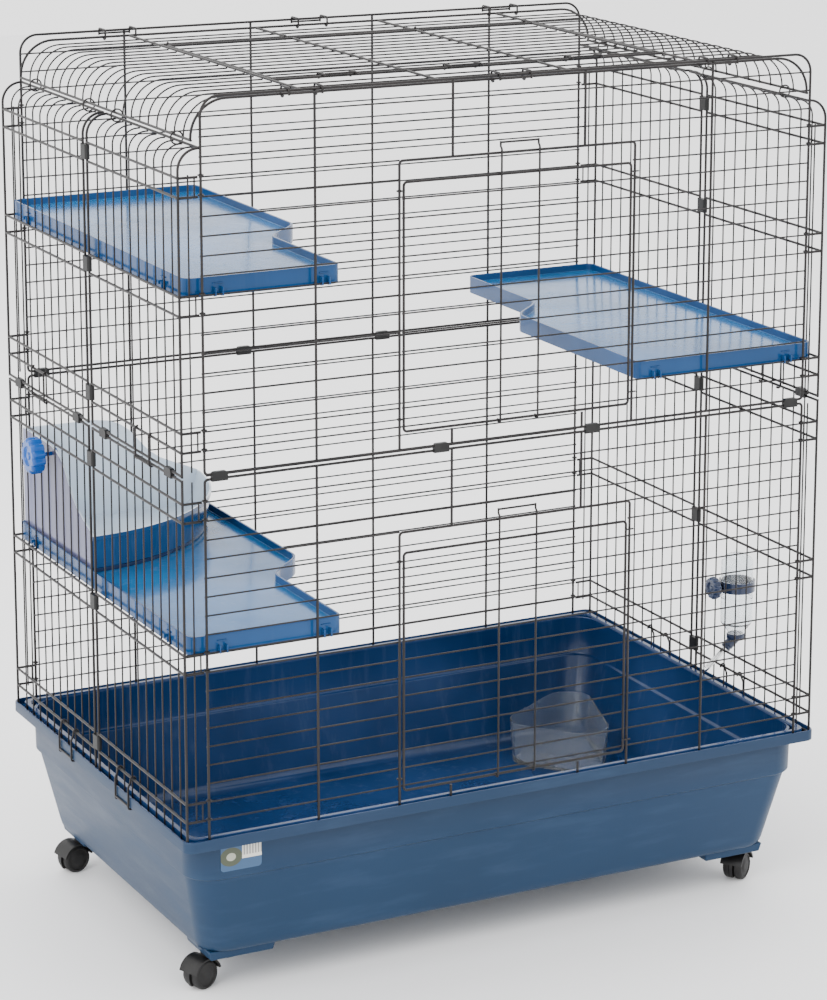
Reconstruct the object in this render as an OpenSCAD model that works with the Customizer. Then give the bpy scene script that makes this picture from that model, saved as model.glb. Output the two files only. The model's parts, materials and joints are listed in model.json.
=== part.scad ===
// Two-tier wire cage on a wheeled tray, millimetres. X is the width, -Y the door side, Z up.
// The origin lies on the floor, under the middle of the whole object.

/* [Tray] */
// Width of the tray over its rim
rim_w = 965; // [800:1:1160]
// Depth of the tray over its rim
rim_d = 646; // [536:1:780]
// Height of the rim's top face above the floor
rim_z = 240; // [200:1:300]
// Height of the tray's underside above the floor
tray_z = 60; // [56:1:72]
// Wall of the tray
tray_wall = 3; // [2.5:0.5:4]
// Depth of the groove that the wire panels stand in
groove_depth = 8; // [6:1:10]
// Corner radius of the rim
rim_r = 14; // [12:1:30]

/* [Wire] */
// Thick wire of frames, bars and belts
thick_d = 3.5; // [3:0.1:4]
// Thin filler wire
thin_d = 2.2; // [1.8:0.1:2.6]
// Hair gap left where two wires are spot welded
weld = 0.05; // [0.03:0.01:0.1]

/* [Panels] */
// Spacing of the thin cross wires of the front and back panels
row_pitch = 25; // [22:0.5:27]
// Number of thin cross wires in one panel
rows = 18; // [18]
// From a panel's bottom wire to its first cross wire
row_start = 30; // [28:1:34]
// From the last cross wire to the top wire of the upper panels
top_gap = 25.5; // [24:0.5:30]
// Centre distance of the two frame wires where the tiers meet
tier_gap = 6.5; // [6:0.5:9]
// Spacing of the thick upright bars
bar_pitch = 195; // [180:1:200]
// Rounding of the upper panels' top corners
shoulder_r = 25; // [20:1:30]
// Return of the side panels along the front and the back
corner_return = 29; // [26:1:34]

/* [Side panels] */
// Gaps between upright wires in one half of a side panel
side_gaps = 11; // [10:1:13]
// Half the distance between the two wires at the folding joint
fold_half = 7; // [6:0.5:9]
// How far the upright wires lean in over the shoulder
side_shoulder = 27; // [24:1:32]

/* [Roof] */
// Height of the roof's bars above the top cross wire of the upper panels
roof_rise = 19; // [16:1:22]
// Half the depth of the roof panel
roof_inset = 17; // [15:1:24]
// Radius at which the roof wires turn down at both ends
roof_r = 48; // [40:1:54]
// Number of roof wires that run from side to side
roof_wires = 22; // [22]
// Roof wires cut by the roof door
roof_door_wires = 12; // [12]

/* [Doors] */
// Width between the door frame's upright wires
door_w = 348; // [300:2:360]
// Clearance between the door and its frame, wire centre to wire centre
door_side = 5.9; // [5.5:0.1:8]
// Row of the panel that the door frame's top wire lies on
door_rows = 14; // [10:1:15]
// Wire of latches, bails and clips
clip_d = 2.8; // [2.4:0.1:3]
// Clearance round a wire that a hook or a ring turns on
turn_gap = 0.35; // [0.3:0.05:0.5]
// Distance between the two legs of a door latch
latch_w = 56; // [50:1:60]
// Distance between the two legs of a bail
bail_w = 46; // [40:1:48]

/* [Castors] */
// Wheel diameter
wheel_d = 40; // [36:1:44]
// Width of one wheel
wheel_w = 12; // [10:1:14]
// Diameter of the castor's stem
stem_d = 8; // [7:0.5:10]
// Running clearance on the radius of the stem and the axle
running = 0.05; // [0.03:0.01:0.08]
// Distance from the stem to the axle
trail = 11; // [8:1:13]
// Distance of the stems from the tray's sides
castor_in = 64; // [60:1:80]
// Distance of the stems from the tray's front and back
castor_in_y = 92; // [88:1:100]

/* [Shelves] */
// Height of a shelf's rim
shelf_h = 25; // [20:1:28]
// Wide end of a shelf
shelf_wide = 279; // [240:1:300]
// Narrow end of a shelf
shelf_narrow = 217; // [190:1:230]
// Wall of a shelf
shelf_wall = 2.6; // [2:0.2:4]
// Distance from a shelf's rim down to its floor
shelf_sink = 10; // [6:1:14]

/* [Fittings] */
// Size of the corner litter pan along each wall
pan_r = 267; // [230:1:275]
// Height of the pan at the corner
pan_h = 148; // [120:1:150]
// Height of the pan's curved front
pan_low = 52; // [40:1:70]
// Height of the bowl
bowl_h = 66; // [50:1:75]
// Diameter of the bottle
bottle_d = 48; // [40:1:52]
// Height of the bottle's body
bottle_h = 108; // [90:1:120]

/* [Hidden] */
$fn = 32;

steel = [0.2, 0.2, 0.21];
black = [0.1, 0.1, 0.1];
blue = [0.1, 0.38, 0.7];
deep_blue = [0.12, 0.3, 0.5];
clear = [0.8, 0.88, 0.92];

tr = thick_d / 2;
thin = thin_d / 2;
// From the axis of a thick wire to the axis of a thin wire welded on it
lap = tr + thin + weld;
// End of a wire that is butted against the side of a thick wire
butt = tr + weld;

// Wire planes
panel_in = 6;
side_in = 5.5;
face_y = rim_d / 2 - panel_in;
side_x = rim_w / 2 - side_in;
side_end = face_y - 4;
edge_x = side_x - corner_return;

// Heights
seat = 0.3;
low_z0 = rim_z - groove_depth + seat + tr;
row_span = (rows - 1) * row_pitch;
low_z1 = low_z0 + row_start + row_span + row_start;
up_z0 = low_z1 + tier_gap;
up_z1 = up_z0 + row_start + row_span + top_gap;
roof_z = up_z0 + row_start + row_span + roof_rise;
side_top = up_z0 + row_start + door_rows * row_pitch + 9;
low_belts = [0, 1, 8, 9, 16, 17];
up_belts = [0, 1, 7, 8, 13, 14];
side_pitch = (side_end - fold_half) / side_gaps;

function row_z(z0, i) = z0 + row_start + i * row_pitch;

// Roof
roof_y = face_y - roof_inset;
roof_pitch = 2 * roof_y / (roof_wires - 1);
roof_flat = side_x - side_shoulder + 3.9 - roof_r;
cross_y = (roof_door_wires + 1) / 2 * roof_pitch;
roof_door_y = cross_y - 13.5;
roof_door_x = 1.5 * bar_pitch - 6.5;

// Doors
ring_r = tr + turn_gap / 2 + thin;
hook_r = tr + turn_gap + clip_d / 2;
door_y = face_y + 0.5;
door_x = door_w / 2 - door_side;
door_low = 6;
door_top = 3;
door_corner = 5;

module wire_x(x0, x1, y, z, d) translate([min(x0, x1), y, z]) rotate([0, 90, 0]) cylinder(d = d, h = abs(x1 - x0));
module wire_y(y0, y1, x, z, d) translate([x, max(y0, y1), z]) rotate([90, 0, 0]) cylinder(d = d, h = abs(y1 - y0));
module wire_z(z0, z1, x, y, d) translate([x, y, z0]) cylinder(d = d, h = z1 - z0);

// Quarter bend from +X round to +Z about the origin, in the XZ plane, with hair gaps at its ends
module bend_xz(r, d) {
    gap = weld / r * 180 / PI;
    rotate([90, 0, 0]) rotate([0, 0, gap]) rotate_extrude(angle = 90 - 2 * gap) translate([r, 0]) circle(d = d);
}

// A wire bent in steps: [roll, straight length, bend angle, bend radius]. It starts along +Z and bends towards +X.
module bent_wire(d, steps, i = 0) {
    s = steps[i];
    rotate([0, 0, s[0]]) {
        if (s[1] > 0) cylinder(d = d, h = s[1]);
        translate([0, 0, s[1]]) {
            if (s[2] > 0) {
                gap = weld / s[3] * 180 / PI;
                translate([s[3], 0, 0]) rotate([90, 0, 180]) rotate([0, 0, gap])
                    rotate_extrude(angle = s[2] - 2 * gap) translate([s[3], 0]) circle(d = d);
            }
            if (i + 1 < len(steps))
                translate([s[3] * (1 - cos(s[2])), 0, s[3] * sin(s[2])]) rotate([0, s[2], 0])
                    bent_wire(d, steps, i + 1);
        }
    }
}

module ring(r, d) rotate_extrude() translate([r, 0]) circle(d = d);

// Plan of a rectangle w by d with corners of radius r
module rounded(w, d, r) {
    square([w - 2 * r, d], center = true);
    square([w, d - 2 * r], center = true);
    for (x = [-1, 1], y = [-1, 1]) translate([x * (w / 2 - r), y * (d / 2 - r)]) circle(r);
}

// Plan of the tray, drawn in from the rim's edge by inset
module tray_plan(inset, r) rounded(rim_w - 2 * inset, rim_d - 2 * inset, r);
module tray_slab(z, inset, r, t = 0.01) translate([0, 0, z]) linear_extrude(t) tray_plan(inset, r);

/* Tray */
lip_h = 15;
lip_wall = 2.4;
groove_w = 8.2;
band_in = 16;
step_z = rim_z - 65;
step_in = 20;
foot_in = 50;
pad_w = 96;
pad_d = 84;
pad_h = 12;
pad_in = 2;
boss_d = 22;
boss_h = 3;
boss_roof = 1.5;

module tray_body() {
    hull() {
        tray_slab(tray_z, foot_in, 30);
        tray_slab(tray_z + 8, foot_in - 7, 34);
        tray_slab(step_z, step_in, 30);
    }
    translate([0, 0, step_z - 0.01]) linear_extrude(rim_z - step_z - 1) tray_plan(band_in, 28);
    translate([0, 0, rim_z - lip_h]) linear_extrude(lip_h) tray_plan(0, rim_r);
}

module tray_hollow() {
    hull() {
        tray_slab(tray_z + tray_wall, foot_in + tray_wall, 28);
        tray_slab(tray_z + tray_wall + 7, foot_in - 7 + tray_wall, 31);
        tray_slab(step_z + 2, step_in + tray_wall, 27);
    }
    translate([0, 0, step_z + 1.9]) linear_extrude(rim_z) tray_plan(band_in + tray_wall, 25);
}

module ring_cut(z0, z1, in0, in1, r)
    translate([0, 0, z0]) linear_extrude(z1 - z0) difference() {
        tray_plan(in0, r);
        tray_plan(in1, max(r - in1 + in0, 1));
    }

function castor_at(sx, sy) = [sx * (rim_w / 2 - castor_in), sy * (rim_d / 2 - castor_in_y)];

module tray() color(deep_blue) difference() {
    union() {
        difference() {
            tray_body();
            tray_hollow();
            // groove for the wires, and the two hollows under the rim
            ring_cut(rim_z - groove_depth, rim_z + 1, lip_wall, lip_wall + groove_w, rim_r - lip_wall);
            ring_cut(rim_z - lip_h - 1, rim_z - groove_depth - 2, lip_wall, band_in, rim_r - lip_wall);
            ring_cut(rim_z - groove_depth - 2.1, rim_z - 2, lip_wall + groove_w + 2, band_in, 4);
        }
        for (x = [-1, 1], y = [-1, 1]) {
            translate([x * (rim_w / 2 - foot_in - pad_in - pad_w / 2), y * (rim_d / 2 - foot_in - pad_in - pad_d / 2),
                tray_z - pad_h]) translate([-pad_w / 2, -pad_d / 2, 0]) cube([pad_w, pad_d, pad_h + 1]);
            translate(castor_at(x, y)) translate([0, 0, tray_z]) cylinder(d = boss_d, h = boss_h);
        }
    }
    for (x = [-1, 1], y = [-1, 1]) translate(castor_at(x, y))
        translate([0, 0, tray_z - pad_h - 1]) cylinder(r = stem_d / 2 + running, h = pad_h + boss_h - boss_roof + 1);
}

label_w = 58;
label_h = 38;
module tray_label() color("white")
    translate([-rim_w / 2 + 54, -rim_d / 2 + band_in - weld - 0.4, rim_z - lip_h - label_h - 0.5])
        cube([label_w, 0.4, label_h]);

/* Castors */
hood_gap = 1;
hood_wall = 2.4;
web_w = 5;
axle_d = 5;
hood_w = web_w + 2 * wheel_w + 2 * hood_gap + 2;
pad_z = tray_z - pad_h;
axle_z = wheel_d / 2;
stem_top = tray_z + boss_h - boss_roof - 1;

hood_r = wheel_d / 2 + hood_gap;

module hood_at(sx, sy, turn) translate(castor_at(sx, sy)) rotate([0, 0, turn]) color(black) {
    difference() {
        union() {
            // cover over the wheels
            translate([trail, hood_w / 2, axle_z]) rotate([90, 0, 0]) rotate([0, 0, 15])
                rotate_extrude(angle = 150, $fn = 64) translate([hood_r, 0]) square([hood_wall, hood_w]);
            // web between the wheels
            translate([trail, web_w / 2, axle_z]) rotate([90, 0, 0])
                cylinder(r = hood_r + 0.7 * hood_wall, h = web_w, $fn = 64);
            difference() {
                translate([0, 0, axle_z]) cylinder(d = 16, h = pad_z - 0.4 - axle_z);
                translate([trail, 20, axle_z]) rotate([90, 0, 0])
                    cylinder(r = hood_r + 0.4 * hood_wall, h = 40, $fn = 64);
            }
        }
        translate([trail, hood_w, axle_z]) rotate([90, 0, 0]) cylinder(r = axle_d / 2 + running, h = 2 * hood_w);
        // the web stays clear of the floor
        translate([-50, -50, -50]) cube([150, 100, 50 + 6]);
    }
    translate([0, 0, pad_z - 1]) cylinder(d = stem_d, h = stem_top - pad_z + 1);
}

module wheels_at(sx, sy, turn) translate(castor_at(sx, sy)) rotate([0, 0, turn]) translate([trail, 0, axle_z])
    color(black) rotate([90, 0, 0]) {
        for (s = [0, 1]) mirror([0, 0, s]) translate([0, 0, web_w / 2 + 0.5])
            rotate_extrude($fn = 64) polygon([[0, 0], [wheel_d / 2 - 1, 0], [wheel_d / 2, 1],
                [wheel_d / 2, wheel_w - 3], [wheel_d / 2 - 3, wheel_w], [0, wheel_w]]);
        translate([0, 0, -web_w / 2 - 1]) cylinder(d = axle_d, h = web_w + 2);
    }

turn_fl = 200;
turn_fr = 215;
turn_bl = 190;
turn_br = 205;
module castor_hood_fl() hood_at(-1, -1, turn_fl);
module castor_hood_fr() hood_at(1, -1, turn_fr);
module castor_hood_bl() hood_at(-1, 1, turn_bl);
module castor_hood_br() hood_at(1, 1, turn_br);
module castor_wheels_fl() wheels_at(-1, -1, turn_fl);
module castor_wheels_fr() wheels_at(1, -1, turn_fr);
module castor_wheels_bl() wheels_at(-1, 1, turn_bl);
module castor_wheels_br() wheels_at(1, 1, turn_br);

/* Front and back panels, drawn on the front and mirrored for the back */
foot_r = 5;

// Frame wire round a panel, its top corners rounded to top_r
module panel_frame(z0, z1, top_r) {
    for (s = [0, 1]) mirror([s, 0, 0]) {
        wire_z(z0 + foot_r + weld, z1 - top_r - weld, edge_x, -face_y, thick_d);
        translate([edge_x - foot_r, -face_y, z0 + foot_r]) mirror([0, 0, 1]) bend_xz(foot_r, thick_d);
        translate([edge_x - top_r, -face_y, z1 - top_r]) bend_xz(top_r, thick_d);
    }
    wire_x(-edge_x + foot_r + weld, edge_x - foot_r - weld, -face_y, z0, thick_d);
    wire_x(-edge_x + top_r + weld, edge_x - top_r - weld, -face_y, z1, thick_d);
}

module bar(i, z0, z1) wire_z(z0 + butt, z1 - butt, i * bar_pitch, -face_y, thick_d);
module row(x0, x1, z) wire_x(x0, x1, -face_y + lap, z, thin_d);

module front_panel(z0, z1, top_r) color(steel) {
    head = row_z(z0, door_rows);
    leg = door_w / 2;
    panel_frame(z0, z1, top_r);
    for (i = [-1.5, 1.5]) bar(i, z0, z1);
    for (i = [-0.5, 0.5]) {
        bar(i, head, z1);
        wire_z(z0 + butt, row_z(z0, 0) - door_low - tr - door_low / 4, i * bar_pitch, -face_y, thick_d);
    }
    // door frame
    for (s = [0, 1]) mirror([s, 0, 0]) {
        wire_z(z0 + butt, head - door_corner - weld, leg, -face_y, thick_d);
        translate([leg - door_corner, -face_y, head - door_corner]) bend_xz(door_corner, thick_d);
    }
    wire_x(-leg + door_corner + weld, leg - door_corner - weld, -face_y, head, thick_d);
    for (i = [0:rows - 1]) {
        z = row_z(z0, i);
        if (i == 0 || i > door_rows) row(-edge_x - 0.9, edge_x + 0.9, z);
        else for (s = [-1, 1]) row(s * (leg - 1.4), s * (edge_x + 0.9), z);
    }
}

module back_panel(z0, z1, top_r) color(steel) mirror([0, 1, 0]) {
    panel_frame(z0, z1, top_r);
    for (i = [-1.5:1:1.5]) bar(i, z0, z1);
    for (i = [0:rows - 1]) row(-edge_x - 0.9, edge_x + 0.9, row_z(z0, i));
}

module front_panel_lower() front_panel(low_z0, low_z1, foot_r);
module front_panel_upper() front_panel(up_z0, up_z1, shoulder_r);
module back_panel_lower() back_panel(low_z0, low_z1, foot_r);
module back_panel_upper() back_panel(up_z0, up_z1, shoulder_r);

/* Side panels: the front half of the right side, mirrored for the other three */
thin_x = side_x - lap;
arc_thick = side_shoulder;
arc_thin = side_shoulder - lap;
arc_x = side_x - side_shoulder;

// Upright wire of the upper tier, bent in over the shoulder
module leaning(x, y, z0, d, r, reach) {
    wire_z(z0, side_top - weld, x, y, d);
    translate([arc_x, y, side_top]) bend_xz(r, d);
    if (reach > 0) wire_x(arc_x - reach, arc_x - weld, y, side_top + r, d);
}

module belts(z0, list) for (i = list) {
    z = row_z(z0, i);
    wire_y(-side_end + butt, -fold_half - butt, side_x, z, thick_d);
    wire_x(edge_x + 3, side_x - butt, -side_end, z, thick_d);
}

module links(z0, list) for (i = [0:2:len(list) - 1])
    wire_z(row_z(z0, list[i]) + butt, row_z(z0, list[i + 1]) - butt, edge_x + 7, -side_end, thin_d);

module side_lower() color(steel) {
    for (y = [-side_end, -fold_half]) wire_z(low_z0 - tr, low_z1 + tr, side_x, y, thick_d);
    for (z = [low_z0, low_z1]) wire_y(-side_end + butt, -fold_half - butt, side_x, z, thick_d);
    for (i = [1:side_gaps - 1])
        wire_z(low_z0 - thin, low_z1 + thin, thin_x, -side_end + i * side_pitch, thin_d);
    belts(low_z0, low_belts);
    links(low_z0, low_belts);
    wire_z(row_z(low_z0, 0) - 3, low_z1 - 3, (side_x + edge_x) / 2, -side_end + lap, thin_d);
}

module side_upper() color(steel) {
    for (y = [-side_end, -fold_half]) leaning(side_x, y, up_z0 - tr, thick_d, arc_thick, 0);
    wire_y(-side_end + butt, -fold_half - butt, side_x, up_z0, thick_d);
    for (i = [1:side_gaps - 1])
        leaning(thin_x, -side_end + i * side_pitch, up_z0 - thin, thin_d, arc_thin, 3);
    wire_y(-side_end - tr, -fold_half + tr, arc_x - butt, side_top + arc_thick, thick_d);
    belts(up_z0, up_belts);
    links(up_z0, up_belts);
    wire_z(up_z0 + 3, row_z(up_z0, door_rows) + 3, (side_x + edge_x) / 2, -side_end + lap, thin_d);
}

module right_front_panel_lower() side_lower();
module right_back_panel_lower() mirror([0, 1, 0]) side_lower();
module left_front_panel_lower() mirror([1, 0, 0]) side_lower();
module left_back_panel_lower() mirror([1, 0, 0]) mirror([0, 1, 0]) side_lower();
module right_front_panel_upper() side_upper();
module right_back_panel_upper() mirror([0, 1, 0]) side_upper();
module left_front_panel_upper() mirror([1, 0, 0]) side_upper();
module left_back_panel_upper() mirror([1, 0, 0]) mirror([0, 1, 0]) side_upper();

module four_corners() for (x = [0, 1], y = [0, 1]) mirror([x, 0, 0]) mirror([0, y, 0]) children();

// Rings that hold the side panels' belts to the edge wires of the front and back panels
module corner_rings(z0, list) color(steel) four_corners() for (i = list)
    translate([edge_x, -face_y, row_z(z0, i) + lap]) ring(ring_r, thin_d);
module corner_rings_lower() corner_rings(low_z0, low_belts);
module corner_rings_upper() corner_rings(up_z0, up_belts);

// Sleeves round the two wires of a folding joint, between the belts of each pair
sleeve_wall = 1.8;
sleeve_gap = 0.1;
module sleeve(z) translate([side_x, 0, z + tr + 1]) {
    h = row_pitch - 2 * tr - 2;
    linear_extrude(h) difference() {
        union() {
            square([2 * tr + 2 * sleeve_wall, 2 * fold_half], center = true);
            for (s = [-1, 1]) translate([0, s * fold_half]) circle(r = tr + sleeve_wall);
        }
        for (s = [-1, 1]) translate([0, s * fold_half]) circle(r = tr + sleeve_gap);
    }
}
module fold_sleeves() color(black) for (s = [0, 1]) mirror([s, 0, 0]) {
    for (i = [0:2:5]) sleeve(row_z(low_z0, low_belts[i]));
    for (i = [0:2:5]) sleeve(row_z(up_z0, up_belts[i]));
}

// Clips that hold the two tiers' frame wires together
clip_w = 22;
clip_t = thick_d + 2.6;
module tier_clip() translate([-clip_w / 2, 0, 0]) rotate([90, 0, 0]) translate([0, 0, -clip_t / 2])
    difference() {
        linear_extrude(clip_t) {
            h = tier_gap + thick_d + 2.4;
            translate([0, -h / 2]) square([clip_w, h - 4]);
            translate([4, -h / 2]) square([clip_w - 8, h]);
            for (x = [4, clip_w - 4]) translate([x, h / 2 - 4]) circle(4);
        }
        for (s = [-1, 1]) translate([-1, s * tier_gap / 2, clip_t / 2]) rotate([0, 90, 0])
            cylinder(r = tr + sleeve_gap, h = clip_w + 2);
    }
joint_z = (low_z1 + up_z0) / 2;
module tier_clips() color(black) four_corners() {
    for (x = [bar_pitch / 2 + 16, edge_x - 20]) translate([x, -face_y, joint_z]) tier_clip();
    // midway between two thin uprights
    for (y = [fold_half + 1.5 * side_pitch, side_end - 1.5 * side_pitch]) translate([side_x, -y, joint_z]) rotate([0, 0, 90]) tier_clip();
}

/* Roof */
// Wire from side to side of the roof, turned down at both ends by drop; cut is half the width of the roof door's frame
module roof_wire(y, cut, z, d, r, drop) {
    if (cut == 0) wire_x(-roof_flat + weld, roof_flat - weld, y, z, d);
    for (s = [0, 1]) mirror([s, 0, 0]) {
        if (cut > 0) wire_x(cut, roof_flat - weld, y, z, d);
        translate([roof_flat, y, z - r]) bend_xz(r, d);
        if (drop > 0) wire_z(z - r - drop, z - r - weld, roof_flat + r, y, d);
    }
}

module roof_bar(x, y0, y1) wire_y(y0, y1, x, roof_z, thick_d);

module roof_panel() color(steel) {
    half = floor(roof_wires / 2);
    door_cut = roof_door_wires / 2;
    for (s = [0, 1]) mirror([0, s, 0]) {
        // frame wire at the front and the back
        roof_wire(roof_y, 0, roof_z, thick_d, roof_r, 0);
        // cross wire of the roof door's frame
        wire_x(-1.5 * bar_pitch + butt, 1.5 * bar_pitch - butt, cross_y, roof_z, thick_d);
        for (i = [0:half - 2]) {
            opening = i <= door_cut ? 1.5 * bar_pitch - 0.9 : 0;
            roof_wire((i + 0.5) * roof_pitch, opening, roof_z - lap, thin_d, roof_r - lap, 3);
        }
        for (i = [-0.5, 0.5]) roof_bar(i * bar_pitch, cross_y + butt, roof_y - butt);
    }
    for (i = [-1.5, 1.5]) roof_bar(i * bar_pitch, -roof_y + butt, roof_y - butt);
    for (s = [-1, 1])
        wire_y(-roof_y - tr, roof_y + tr, s * (roof_flat + roof_r), roof_z - roof_r - butt, thick_d);
}

// Rings that tie the roof's end wires to the side panels' top wires
end_ring_y = [50, 250];
module roof_end_rings() color(steel) four_corners() for (y = end_ring_y) {
    xa = roof_flat + roof_r;
    za = roof_z - roof_r - butt;
    xb = arc_x - butt;
    zb = side_top + arc_thick;
    apart = norm([xa - xb, za - zb]);
    translate([(xa + xb) / 2, -y, (za + zb) / 2]) rotate([90, 0, 0])
        ring(apart / 2 + tr + turn_gap + thin, thin_d);
}

// Sprung wire clips over the roof's frame wire and the front or back panel's top wire
module roof_clip() {
    rise = up_z1 - roof_z;
    reach = face_y - roof_y;
    for (s = [-1, 1]) translate([s * bail_w / 2, -roof_y + hook_r, roof_z]) {
        rotate([0, 0, -90]) bent_wire(clip_d, [[0, rise, 90, hook_r], [0, reach, 90, hook_r], [0, 6, 0, 0]]);
        rotate([180, 0, 0]) rotate([0, 0, 90]) bent_wire(clip_d, [[0, 0, 150, hook_r]]);
    }
    wire_x(-bail_w / 2 + clip_d / 2 + weld, bail_w / 2 - clip_d / 2 - weld,
        -face_y - hook_r, up_z1 - 4, clip_d);
}
roof_clip_x = [-306, -8, 306];
module roof_clips() color(steel) for (s = [0, 1]) mirror([0, s, 0])
    for (x = roof_clip_x) translate([x, 0, 0]) roof_clip();

hinge_x = [-1.5 * bar_pitch + 12, -0.5 * bar_pitch - 5, 0.5 * bar_pitch + 5, 1.5 * bar_pitch - 12];
module roof_door() color(steel) {
    for (x = [-roof_door_x, roof_door_x]) roof_bar(x, -roof_door_y + butt, roof_door_y - butt);
    for (i = [-0.5, 0.5]) roof_bar(i * bar_pitch, -roof_door_y + butt, roof_door_y - butt);
    for (s = [-1, 1]) wire_x(-roof_door_x - tr, roof_door_x + tr, s * roof_door_y, roof_z, thick_d);
    for (i = [0:roof_door_wires - 1])
        wire_x(-roof_door_x - 0.9, roof_door_x + 0.9, (i - (roof_door_wires - 1) / 2) * roof_pitch,
            roof_z - lap, thin_d);
    for (x = hinge_x) {
        translate([x, cross_y, roof_z]) rotate([0, 90, 0]) ring(ring_r, thin_d);
        wire_y(roof_door_y + butt, cross_y - ring_r - thin - weld, x, roof_z, thin_d);
    }
}

// Latch of the roof door: two hooks on the door's front wire, over the cross wire of its frame
roof_latch_x = [-196, -12, 172];
latch_reach = 13.5;
module roof_latch(x) color(steel) translate([x, -roof_door_y, roof_z]) {
    for (s = [-1, 1]) translate([s * bail_w / 2, 0, hook_r]) rotate([90, 0, 0]) {
        bent_wire(clip_d, [[-90, latch_reach + 3, 50, 4], [0, 2, 0, 0]]);
        rotate([180, 0, 0]) bent_wire(clip_d, [[90, 0, 200, hook_r]]);
    }
    wire_x(-bail_w / 2 + clip_d / 2 + weld, bail_w / 2 - clip_d / 2 - weld,
        -latch_reach - 3, hook_r, clip_d);
}
module roof_latch_left() roof_latch(roof_latch_x[0]);
module roof_latch_mid() roof_latch(roof_latch_x[1]);
module roof_latch_right() roof_latch(roof_latch_x[2]);

/* Front doors */
module door(z0) color(steel) {
    lo = row_z(z0, 0) - door_low;
    hi = row_z(z0, door_rows - 1) - door_top;
    for (s = [0, 1]) mirror([s, 0, 0]) {
        wire_z(lo + door_corner + weld, hi - door_corner - weld, door_x, -door_y, thick_d);
        translate([door_x - door_corner, -door_y, hi - door_corner]) bend_xz(door_corner, thick_d);
        translate([door_x - door_corner, -door_y, lo + door_corner]) mirror([0, 0, 1])
            bend_xz(door_corner, thick_d);
    }
    for (z = [lo, hi])
        wire_x(-door_x + door_corner + weld, door_x - door_corner - weld, -door_y, z, thick_d);
    for (i = [1:door_rows - 2]) wire_x(-door_x - 0.9, door_x + 0.9, -door_y + lap, row_z(z0, i), thin_d);
    // hinge rings on the frame's left wire, and stops on its right wire
    for (z = [lo + 17, hi - 11]) {
        translate([-door_w / 2, -face_y, z]) ring(ring_r, thin_d);
        wire_x(door_x - 3, door_w / 2 + 4, -door_y - lap, z, thin_d);
    }
}
module door_lower() door(low_z0);
module door_upper() door(up_z0);

// Latch of a front door: two legs hooked on the door's bottom wire, up to a handle over the frame's top wire
module door_latch(z0) color(steel) {
    lo = row_z(z0, 0) - door_low;
    head = row_z(z0, door_rows);
    rise = head - lo + 3.5;
    for (s = [-1, 1]) translate([s * latch_w / 2, -door_y - hook_r, lo]) {
        rotate([0, 0, 90]) bent_wire(clip_d, [[0, rise, 55, 4], [180, 0, 55, 4], [0, 5, 0, 0]]);
        rotate([180, 0, 0]) rotate([0, 0, -90]) bent_wire(clip_d, [[0, 0, 200, hook_r]]);
    }
    top_y = -door_y - hook_r + 8 * (1 - cos(55));
    top_z = lo + rise + 8 * sin(55) + 3.5;
    wire_x(-latch_w / 2 + clip_d / 2 + weld, latch_w / 2 - clip_d / 2 - weld, top_y, top_z, clip_d);
}
module door_latch_lower() door_latch(low_z0);
module door_latch_upper() door_latch(up_z0);

/* Bails on the side panels, drawn for the right front and mirrored */
bail_d = clip_d;
base_bail_y = 105;
tier_bail_y = 190;

// Hooked on the lowest belt, down over the rim and in under its lip
module base_bail() color(steel) {
    z = row_z(low_z0, 0);
    out = rim_w / 2 + turn_gap + bail_d / 2 - side_x - hook_r;
    drop = z - (rim_z - lip_h) + 1 + bail_d / 2;
    toe_r = 2.5;
    lean = 30;
    bend_r = out / 2 / (1 - cos(lean));
    for (s = [-1, 1]) translate([side_x + hook_r, -base_bail_y + s * bail_w / 2, z]) {
        rotate([0, 180, 0]) rotate([0, 0, 180])
            bent_wire(bail_d, [[0, 0.5, lean, bend_r], [180, 0, lean, bend_r],
                [0, drop - 2 * bend_r * sin(lean) - toe_r - 0.5, 90, toe_r], [0, 3, 0, 0]]);
        rotate([0, 0, 180]) bent_wire(bail_d, [[0, 0, 200, hook_r]]);
    }
    wire_y(-base_bail_y - bail_w / 2 + bail_d / 2 + weld, -base_bail_y + bail_w / 2 - bail_d / 2 - weld,
        rim_w / 2 + turn_gap + bail_d / 2, z - drop + 4, bail_d);
}
module base_bail_rf() base_bail();
module base_bail_rb() mirror([0, 1, 0]) base_bail();
module base_bail_lf() mirror([1, 0, 0]) base_bail();
module base_bail_lb() mirror([1, 0, 0]) mirror([0, 1, 0]) base_bail();

// Hooked under the lower tier's top wire, up over the upper tier's lowest belt
module tier_bail() color(steel) {
    z = row_z(up_z0, 0);
    for (s = [-1, 1]) translate([side_x + hook_r, -tier_bail_y + s * bail_w / 2, low_z1]) {
        rotate([0, 0, 180]) bent_wire(bail_d, [[0, z - low_z1, 100, hook_r]]);
        rotate([0, 180, 0]) bent_wire(bail_d, [[0, 0, 150, hook_r]]);
    }
    wire_y(-tier_bail_y - bail_w / 2 + bail_d / 2 + weld, -tier_bail_y + bail_w / 2 - bail_d / 2 - weld,
        side_x + hook_r, low_z1 - 1, bail_d);
}
module tier_bail_rf() tier_bail();
module tier_bail_rb() mirror([0, 1, 0]) tier_bail();
module tier_bail_lf() mirror([1, 0, 0]) tier_bail();
module tier_bail_lb() mirror([1, 0, 0]) mirror([0, 1, 0]) tier_bail();

/* Shelves: one moulding, drawn for the left side with its wide end at the back */
shelf_clear = 4;
shelf_x = thin_x - thin - shelf_clear;
shelf_y = face_y - lap - thin - shelf_clear;
shelf_r = 12;
step_y0 = -109;
step_y1 = -20;

function arc_points(c, r, a0, steps = 8) = [for (i = [0:steps]) let (a = a0 + 90 * i / steps) c + r * [cos(a), sin(a)]];

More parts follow.
